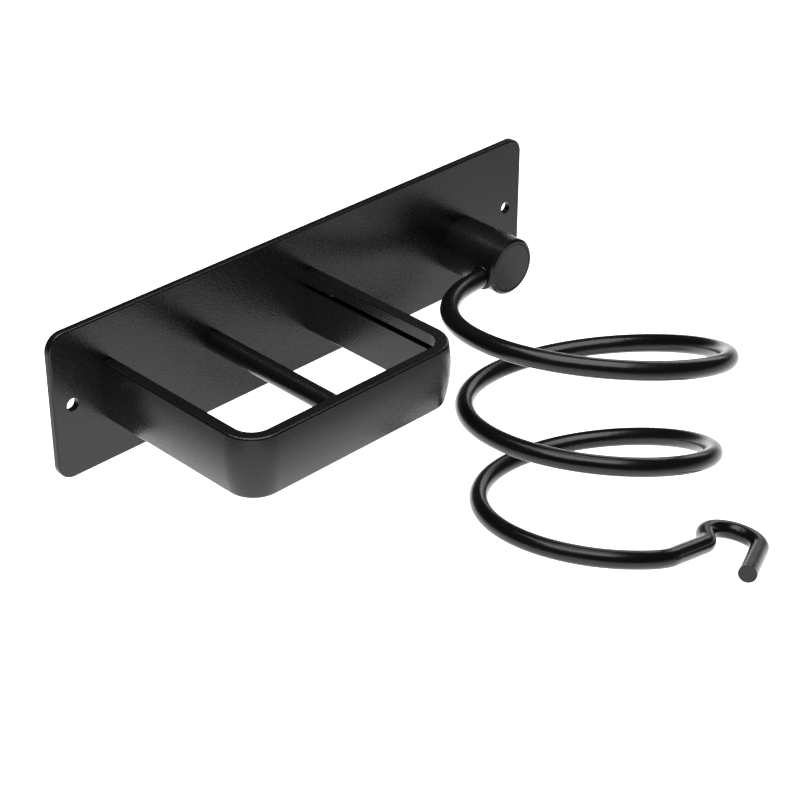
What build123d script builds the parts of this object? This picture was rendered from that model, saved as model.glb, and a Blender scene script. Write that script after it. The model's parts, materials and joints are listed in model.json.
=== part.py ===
from build123d import *
from math import cos, radians, sin, sqrt
import os

# Hair dryer holder for a wall: a plate carries a U-shaped basket with a divider rod,
# and a short post with a welded wire coil that takes the dryer's barrel.
# Millimetres. Origin: centre of the plate's back face. +X along the plate,
# +Z up, and everything stands out from the wall towards -Y.

# Wall plate
plate_length = 240.0
plate_height = 59.3
plate_thickness = 2.7
plate_corner = 6.6
plate_front_edge = 0.7
wall_hole_x = 111.8
wall_hole_radius = 2.6

# Basket rail: an extruded strip bent into a U, crowned outside and with a screw channel inside
rail_left = -98.6
rail_right = 5.6
rail_reach = 82.2
rail_top = 11.7
rail_bottom = -13.8
rail_wall = 5.6
rail_corner = 13.4
rail_crown = 52.0
rail_crown_height = 2.0
rail_top_round = 0.9
rail_bottom_round = 2.2
rail_inner_round = 0.5
slot_top = 6.8
slot_height = 2.4
lip_depth = 1.0
channel_height = 3.4
channel_depth = 3.4
slot_middle = slot_top - slot_height / 2
channel_inset = rail_wall - lip_depth - channel_depth / 2

# Divider rod, half way along the basket
rod_x = (rail_left + rail_right) / 2
rod_radius = 4.0
spigot_radius = 2.0
spigot_length = 3.0

# Coil post: a tube with a threaded plug at the wall and a pressed cap in front
post_x = 85.3
post_z = -7.4
post_radius = 11.8
post_reach = 31.3
post_bore = 10.0
post_chamfer = 1.0
plug_length = 12.0
cap_thickness = 1.4
cap_bevel = 0.3

# Coil: a round wire wound as a leaning, tapering helix, its straight root let into the post
wire_radius = 3.75
wire_root = 6.6
socket_play = 0.06
weld_radius = 1.0
weld_offset = 2.3
coil_centre = Vector(76.8, -80.9, -3.2)
coil_lean = Vector(0.178, 0.214, 1.0)
coil_radius = 54.7
coil_taper = 5.2
coil_pitch = 38.2
coil_zero_angle = 136.0
coil_first_angle = 98.5
coil_last_angle = 984.8
coil_step = 18

# End hook, bent in one plane: out, round and back
hook_roll = 10.8
hook_bend_radius = 9.3
hook_bend_turn = 14.0
hook_leg = 25.2
hook_kick_turn = 37.0
hook_kick_leg = 5.1
hook_loop_radius = 11.0
hook_loop_turn = 197.0
hook_return = 30.4
path_step = 2.5
guide_offset = 15.0

# Countersunk screws, put in from the back of the plate
rail_screw_radius = 1.7
rod_screw_radius = 2.0
post_screw_radius = 3.0
socket_depth_share = 0.45


def at_wall(x, z, y=0.0):
    """A drawing plane facing out from the wall, centred at x, z and set y in front of it."""
    return Plane(origin=(x, -y, z), x_dir=(1, 0, 0), z_dir=(0, -1, 0))


def bar(x, z, radius, start, length):
    """A round bar standing out from the wall."""
    return extrude(at_wall(x, z, start) * Circle(radius), length)


def countersink(x, z, radius):
    """The hole that a countersunk screw leaves in the plate, widest at the back."""
    depth = plate_thickness - 0.7
    cone = loft([at_wall(x, z) * Circle(radius + depth), at_wall(x, z, depth) * Circle(radius)])
    return cone + bar(x, z, radius, 0, plate_thickness)


def countersunk_screw(x, z, radius, length):
    """A screw whose flat head is flush with the plate's back face and whose tip is chamfered."""
    depth = plate_thickness - 0.7
    head = loft([at_wall(x, z) * Circle(radius + depth), at_wall(x, z, depth) * Circle(radius)])
    shank = bar(x, z, radius, 0, length)
    tip = shank.faces().sort_by(Axis.Y)[0].edges()
    shank = chamfer(tip, radius * 0.3)
    socket = extrude(at_wall(x, z) * RegularPolygon(radius * 0.75, 6), radius * 2 * socket_depth_share)
    return head + shank - socket


def crown_inset(height):
    """How far the rail's crowned outer face lies inside its furthest point at a height."""
    return rail_crown - sqrt(rail_crown**2 - (height - rail_crown_height) ** 2)


def outer_corner(section, row):
    """The section's outer corner in its lowest (0) or highest (-1) row of corners."""
    return section.vertices().group_by(Axis.Y)[row].sort_by(Axis.X)[0]


def rail_section():
    """The rail's cross-section: x runs inwards from the outer face and y is up."""
    top = (crown_inset(rail_top), rail_top)
    bottom = (crown_inset(rail_bottom), rail_bottom)
    outer = ThreePointArc(top, (0, rail_crown_height), bottom)
    rest = Polyline(bottom, (rail_wall, rail_bottom), (rail_wall, rail_top), top)
    section = make_face(outer + rest)
    section = fillet(outer_corner(section, -1), rail_top_round)
    section = fillet(outer_corner(section, 0), rail_bottom_round)
    section = fillet(section.vertices().group_by(Axis.X)[-1], rail_inner_round)
    slot = Pos(rail_wall, slot_middle) * Rectangle(2 * lip_depth + 0.2, slot_height)
    channel = Pos(channel_inset, slot_middle) * Rectangle(channel_depth, channel_height)
    return section - slot - channel


def rail_path():
    """The line that the section follows: out from the plate, across and back."""
    back = -plate_thickness
    line = Polyline((rail_left, back), (rail_left, -rail_reach), (rail_right, -rail_reach), (rail_right, back))
    return fillet(line.vertices().group_by(Axis.Y)[0], rail_corner)


def coil_frame():
    """The leaning frame that the coil is wound in, with its Z along the coil's axis."""
    axis = coil_lean.normalized()
    across = (Vector(1, 0, 0) - axis * axis.X).normalized()
    return Plane(origin=coil_centre, x_dir=across, z_dir=axis)


def coil_point(angle):
    """A point on the wire's centre line; the coil drops and narrows as the angle grows."""
    turns = (angle - coil_zero_angle) / 360
    radius = coil_radius - coil_taper * turns
    local = Vector(radius * cos(radians(angle)), radius * sin(radians(angle)), -coil_pitch * turns)
    return coil_frame().from_local_coords(local)


def coil_direction(angle):
    return (coil_point(angle + 0.01) - coil_point(angle - 0.01)).normalized()


def coil_points():
    """The wound length of the wire, from the root to the start of the hook."""
    count = round((coil_last_angle - coil_first_angle) / coil_step)
    step = (coil_last_angle - coil_first_angle) / count
    return [coil_point(coil_first_angle + step * i) for i in range(count + 1)]


def root_line():
    """The straight root, from inside the post's wall out to the first turn of the coil."""
    outer = coil_point(coil_first_angle)
    return Line(outer - coil_direction(coil_first_angle) * wire_root, outer)


def hook_pieces():
    """The hook: a slight bend out of the coil, a straight leg, a kick out, a loop and a return."""
    heading = coil_direction(coil_last_angle)
    axis = coil_lean.normalized()
    upward = (axis - heading * axis.dot(heading)).normalized()
    upward = upward.rotate(Axis((0, 0, 0), heading), hook_roll)
    plane = Plane(origin=coil_point(coil_last_angle), x_dir=heading, z_dir=upward)
    bend = JernArc((0, 0), (1, 0), hook_bend_radius, hook_bend_turn)
    leg = Line(bend @ 1, bend @ 1 + bend % 1 * hook_leg)
    kick = JernArc(leg @ 1, leg % 1, hook_bend_radius, hook_kick_turn)
    kick_leg = Line(kick @ 1, kick @ 1 + kick % 1 * hook_kick_leg)
    loop = JernArc(kick_leg @ 1, kick_leg % 1, hook_loop_radius, -hook_loop_turn)
    back = Line(loop @ 1, loop @ 1 + loop % 1 * hook_return)
    return [plane * piece for piece in (bend, leg, kick, kick_leg, loop, back)]


def make_wall_plate():
    outline = RectangleRounded(plate_length, plate_height, plate_corner)
    plate = extrude(at_wall(0, 0) * outline, plate_thickness)
    plate = fillet(plate.faces().sort_by(Axis.Y)[0].edges(), plate_front_edge)
    for side in (-1, 1):
        hole = bar(side * wall_hole_x, 0, wall_hole_radius, 0, plate_thickness)
        plate -= hole
    for x, z, radius in screw_places():
        plate -= countersink(x, z, radius)
    return plate


def screw_places():
    """Where the plate's hidden screws go, and their radii."""
    return [
        (rail_left + channel_inset, slot_middle, rail_screw_radius),
        (rail_right - channel_inset, slot_middle, rail_screw_radius),
        (rod_x, 0, rod_screw_radius),
        (post_x, post_z, post_screw_radius),
    ]


def make_basket_rail():
    start = Plane(origin=(rail_left, -plate_thickness, 0), x_dir=(1, 0, 0), z_dir=(0, -1, 0))
    rail = sweep(start * rail_section(), path=rail_path())
    return rail - bar(rod_x, 0, spigot_radius, rail_reach - rail_wall - 1, spigot_length + 1)


def make_divider_rod():
    length = rail_reach - rail_wall - plate_thickness
    rod = bar(rod_x, 0, rod_radius, plate_thickness, length)
    rod += bar(rod_x, 0, spigot_radius, plate_thickness + length, spigot_length - 0.2)
    return rod - bar(rod_x, 0, rod_screw_radius, plate_thickness, 12)


def make_coil_post():
    post = bar(post_x, post_z, post_radius, plate_thickness, post_reach - plate_thickness)
    post = chamfer(post.faces().sort_by(Axis.Y)[0].edges(), post_chamfer)
    post -= bar(post_x, post_z, post_bore, plate_thickness, post_reach)
    return post - root_bar()


def make_threaded_plug():
    plug = bar(post_x, post_z, post_bore, plate_thickness, plug_length)
    return plug - bar(post_x, post_z, post_screw_radius, plate_thickness, plug_length)


def make_end_cap():
    cap = bar(post_x, post_z, post_bore, post_reach - cap_thickness, cap_thickness)
    return chamfer(cap.faces().sort_by(Axis.Y)[0].edges(), cap_bevel)


def coil_path():
    """One smooth line through the root, the turns and the hook."""
    root = root_line()
    points = [root @ 0, root @ 0.5] + coil_points()
    for piece in hook_pieces():
        count = max(1, round(piece.length / path_step))
        points += [piece @ (i / count) for i in range(1, count + 1)]
    return Spline(points)


def make_coil_wire():
    """The round wire; a guide line beside its path keeps it from twisting as it is swept."""
    path = coil_path()
    guide = path.moved(Location(coil_lean.normalized() * guide_offset))
    section = Plane(origin=path @ 0, z_dir=path % 0) * Circle(wire_radius)
    return sweep(section, path=path, binormal=guide)


def root_bar():
    """The space that the wire's root fills, used to cut its hole in the post."""
    root = root_line()
    start = Plane(origin=root @ 0 - root % 0 * socket_play, z_dir=root % 0)
    return extrude(start * Circle(wire_radius + socket_play), wire_root)


def make_weld_bead():
    """A bead of weld round the root where it meets the post."""
    root = root_line()
    where = Plane(origin=root @ 0 + root % 0 * weld_offset, z_dir=root % 0)
    bead = where * Torus(wire_radius + weld_radius * 0.2, weld_radius)
    return bead - root_bar() - bar(post_x, post_z, post_radius, 0, post_reach)


def export(shape, name):
    export_step(shape, f"parts/{name}.step")


if __name__ == "__main__":
    os.makedirs("parts", exist_ok=True)
    export(make_wall_plate(), "wall_plate")
    export(make_basket_rail(), "basket_rail")
    export(make_divider_rod(), "divider_rod")
    export(make_coil_post(), "coil_post")
    export(make_threaded_plug(), "post_threaded_plug")
    export(make_end_cap(), "post_end_cap")
    export(make_coil_wire(), "coil_wire")
    export(make_weld_bead(), "coil_weld_bead")
    left, right, rod, post = screw_places()
    export(Compound([countersunk_screw(*left, 16), countersunk_screw(*right, 16)]), "rail_screws")
    export(countersunk_screw(*rod, 13), "divider_screw")
    export(countersunk_screw(*post, 13), "post_screw")
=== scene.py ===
import json
from math import radians

import bpy
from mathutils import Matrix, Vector


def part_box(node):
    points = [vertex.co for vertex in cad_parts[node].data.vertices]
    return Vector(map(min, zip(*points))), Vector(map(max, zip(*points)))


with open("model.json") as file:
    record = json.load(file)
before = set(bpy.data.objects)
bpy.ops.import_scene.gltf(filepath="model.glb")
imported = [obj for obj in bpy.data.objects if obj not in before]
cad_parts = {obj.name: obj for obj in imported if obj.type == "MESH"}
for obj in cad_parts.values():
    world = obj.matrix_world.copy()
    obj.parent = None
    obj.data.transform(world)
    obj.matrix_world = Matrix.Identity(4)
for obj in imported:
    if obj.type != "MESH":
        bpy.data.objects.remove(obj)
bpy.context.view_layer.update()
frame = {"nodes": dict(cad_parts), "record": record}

# Hair dryer holder: a satin black wall plate with a divided basket and a hanging wire coil.
# Metres. +X along the plate, +Z up, and the holder stands out from the wall towards -Y.

# Camera: above the holder and to its left, looking down through a long lens
CAMERA_PLACE = (-0.4902, -0.5484, 0.4009)
CAMERA_TILT = 31.52
CAMERA_TURN = 44.364
CAMERA_LENS = 97.9
CAMERA_SHIFT = (0.0155, 0.0078)

# Painted pool of light: the floor itself glows, though it is no lamp, in a strip along the line
# of sight and dims to either side
FLOOR_DROP = 0.06
FLOOR_SIZE = 6.0
FLOOR_COLOUR = (0.85, 0.85, 0.85)
STRIP_HALF_WIDTH = 0.12
STRIP_END = 0.52
STRIP_GLOW = 1.15
DIM_GLOW = 0.03

# Soft lights, all aimed at the middle of the holder
LIGHT_AIM = (0.02, -0.06, -0.03)
TOP_BOX_PLACE = (-0.03, -0.12, 1.0)
TOP_BOX_SIZE = 1.1
TOP_BOX_POWER = 18
RIGHT_BOX_PLACE = (1.0, 0.3, 0.35)
RIGHT_BOX_SIZE = 0.6
RIGHT_BOX_POWER = 2
AIR_COLOUR = (0.95, 0.97, 1.0)
AIR_GLOW = 0.04

# Both black coats' refractive index, which sets how strongly they reflect
COAT_IOR = 1.4


def node_tree(name):
    """A new material with its shader and node tree ready to wire up."""
    material = bpy.data.materials.new(name)
    material.use_nodes = True
    tree = material.node_tree
    return material, tree, tree.nodes["Principled BSDF"]


def object_place(tree):
    """Coordinates in metres that stay with the object."""
    return tree.nodes.new("ShaderNodeTexCoord").outputs["Object"]


def noise(tree, scale, detail=2.0):
    node = tree.nodes.new("ShaderNodeTexNoise")
    node.inputs["Scale"].default_value = scale
    node.inputs["Detail"].default_value = detail
    tree.links.new(object_place(tree), node.inputs["Vector"])
    return node.outputs["Fac"]


def ranged(tree, value, low, high, start=0.3, end=0.7):
    """A value between start and end, spread over low to high."""
    node = tree.nodes.new("ShaderNodeMapRange")
    node.inputs["From Min"].default_value = start
    node.inputs["From Max"].default_value = end
    node.inputs["To Min"].default_value = low
    node.inputs["To Max"].default_value = high
    tree.links.new(value, node.inputs["Value"])
    return node.outputs["Result"]


def mixed(tree, share, first, second):
    """One colour fading into another."""
    node = tree.nodes.new("ShaderNodeMix")
    node.data_type = "RGBA"
    node.inputs["A"].default_value = (*first, 1)
    node.inputs["B"].default_value = (*second, 1)
    tree.links.new(share, node.inputs["Factor"])
    return node.outputs["Result"]


def bumped(tree, shader, height, depth):
    """Relief of a real depth in metres."""
    node = tree.nodes.new("ShaderNodeBump")
    node.inputs["Distance"].default_value = depth
    tree.links.new(height, node.inputs["Height"])
    tree.links.new(node.outputs["Normal"], shader.inputs["Normal"])


def coloured(tree, shader, pattern, first, second):
    """Clouds the base colour between two colours."""
    share = ranged(tree, pattern, 0, 1)
    tree.links.new(mixed(tree, share, first, second), shader.inputs["Base Color"])


def roughened(tree, shader, pattern, smooth, rough):
    """Varies the roughness between two values."""
    tree.links.new(ranged(tree, pattern, smooth, rough), shader.inputs["Roughness"])


def powder_coat():
    """Satin black powder coat: grainy orange peel and faint cloudiness."""
    material, tree, shader = node_tree("powder_coat")
    shader.inputs["IOR"].default_value = COAT_IOR
    coloured(tree, shader, noise(tree, 35, 4), (0.0035, 0.0035, 0.004), (0.006, 0.006, 0.0065))
    roughened(tree, shader, noise(tree, 700, 4), 0.2, 0.3)
    bumped(tree, shader, noise(tree, 1400, 3), 0.00006)
    return material


def wire_coat():
    """Smoother, glossier black coat on the round wire."""
    material, tree, shader = node_tree("wire_coat")
    shader.inputs["IOR"].default_value = COAT_IOR
    coloured(tree, shader, noise(tree, 45, 4), (0.003, 0.003, 0.0035), (0.005, 0.005, 0.0055))
    roughened(tree, shader, noise(tree, 80, 3), 0.2, 0.27)
    bumped(tree, shader, noise(tree, 900, 2), 0.00002)
    return material


def bare_alloy():
    """Machined aluminium for the hidden plug."""
    material, tree, shader = node_tree("bare_alloy")
    shader.inputs["Metallic"].default_value = 1.0
    coloured(tree, shader, noise(tree, 300, 3), (0.62, 0.62, 0.63), (0.74, 0.74, 0.75))
    roughened(tree, shader, noise(tree, 500, 3), 0.3, 0.45)
    return material


def screw_steel():
    """Black zinc-plated steel for the hidden screws."""
    material, tree, shader = node_tree("screw_steel")
    shader.inputs["Metallic"].default_value = 1.0
    coloured(tree, shader, noise(tree, 400, 3), (0.045, 0.045, 0.05), (0.07, 0.07, 0.075))
    roughened(tree, shader, noise(tree, 700, 3), 0.22, 0.38)
    return material


def painted_light_floor():
    """A pale floor with a painted pool of light: it glows, though it is no lamp, in a broad strip
    under the holder and dims to either side.
    """
    material, tree, shader = node_tree("painted_light_floor")
    place = tree.nodes.new("ShaderNodeSeparateXYZ")
    tree.links.new(object_place(tree), place.inputs["Vector"])
    aside = tree.nodes.new("ShaderNodeMath")
    aside.operation = "ABSOLUTE"
    tree.links.new(place.outputs["X"], aside.inputs[0])
    glow = tree.nodes.new("ShaderNodeMapRange")
    glow.interpolation_type = "SMOOTHSTEP"
    glow.inputs["From Min"].default_value = STRIP_HALF_WIDTH
    glow.inputs["From Max"].default_value = STRIP_END
    glow.inputs["To Min"].default_value = STRIP_GLOW
    glow.inputs["To Max"].default_value = DIM_GLOW
    tree.links.new(aside.outputs["Value"], glow.inputs["Value"])
    shader.inputs["Base Color"].default_value = (*FLOOR_COLOUR, 1)
    shader.inputs["Roughness"].default_value = 0.9
    shader.inputs["Emission Color"].default_value = (1, 1, 1, 1)
    # painted light: this emission strength paints the glowing strip onto the floor
    tree.links.new(glow.outputs["Result"], shader.inputs["Emission Strength"])
    return material


def dress_nodes():
    """Gives each CAD node the material of its slot in the record."""
    made = {
        "powder_coat": powder_coat(),
        "wire_coat": wire_coat(),
        "bare_alloy": bare_alloy(),
        "screw_steel": screw_steel(),
    }
    for part in frame["record"]["subparts"]:
        mesh = frame["nodes"][part["node"]].data
        mesh.materials.clear()
        mesh.materials.append(made[part["material_slot"]])


def make_floor():
    """A square floor below the coil, turned to lie along the camera's line of sight."""
    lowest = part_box("coil_wire")[0].z
    half = FLOOR_SIZE / 2
    corners = [(-half, -half, 0), (half, -half, 0), (half, half, 0), (-half, half, 0)]
    mesh = bpy.data.meshes.new("floor")
    mesh.from_pydata(corners, [], [(0, 1, 2, 3)])
    # the floor's material paints a pool of light with its own glow
    mesh.materials.append(painted_light_floor())
    floor = bpy.data.objects.new("floor", mesh)
    floor.location.z = lowest - FLOOR_DROP
    floor.rotation_euler.z = radians(-CAMERA_TURN)
    bpy.context.scene.collection.objects.link(floor)


def soft_box(name, place, size, power):
    """A square area light facing the middle of the holder."""
    data = bpy.data.lights.new(name, "AREA")
    data.size = size
    data.energy = power
    light = bpy.data.objects.new(name, data)
    light.location = place
    light.rotation_euler = (Vector(LIGHT_AIM) - Vector(place)).to_track_quat("-Z", "Y").to_euler()
    bpy.context.scene.collection.objects.link(light)


def make_lights():
    """The two soft boxes and a faint even light from all round."""
    soft_box("top_box", TOP_BOX_PLACE, TOP_BOX_SIZE, TOP_BOX_POWER)
    soft_box("right_box", RIGHT_BOX_PLACE, RIGHT_BOX_SIZE, RIGHT_BOX_POWER)
    world = bpy.data.worlds.new("studio_air")
    world.use_nodes = True
    air = world.node_tree.nodes["Background"]
    air.inputs["Color"].default_value = (*AIR_COLOUR, 1)
    air.inputs["Strength"].default_value = AIR_GLOW
    bpy.context.scene.world = world


def make_camera():
    data = bpy.data.cameras.new("camera")
    data.lens = CAMERA_LENS
    data.shift_x, data.shift_y = CAMERA_SHIFT
    camera = bpy.data.objects.new("camera", data)
    camera.location = CAMERA_PLACE
    camera.rotation_euler = (radians(90 - CAMERA_TILT), 0, radians(-CAMERA_TURN))
    bpy.context.scene.collection.objects.link(camera)
    bpy.context.scene.camera = camera


dress_nodes()
make_floor()
make_lights()
make_camera()
bpy.context.scene.view_settings.view_transform = "Standard"
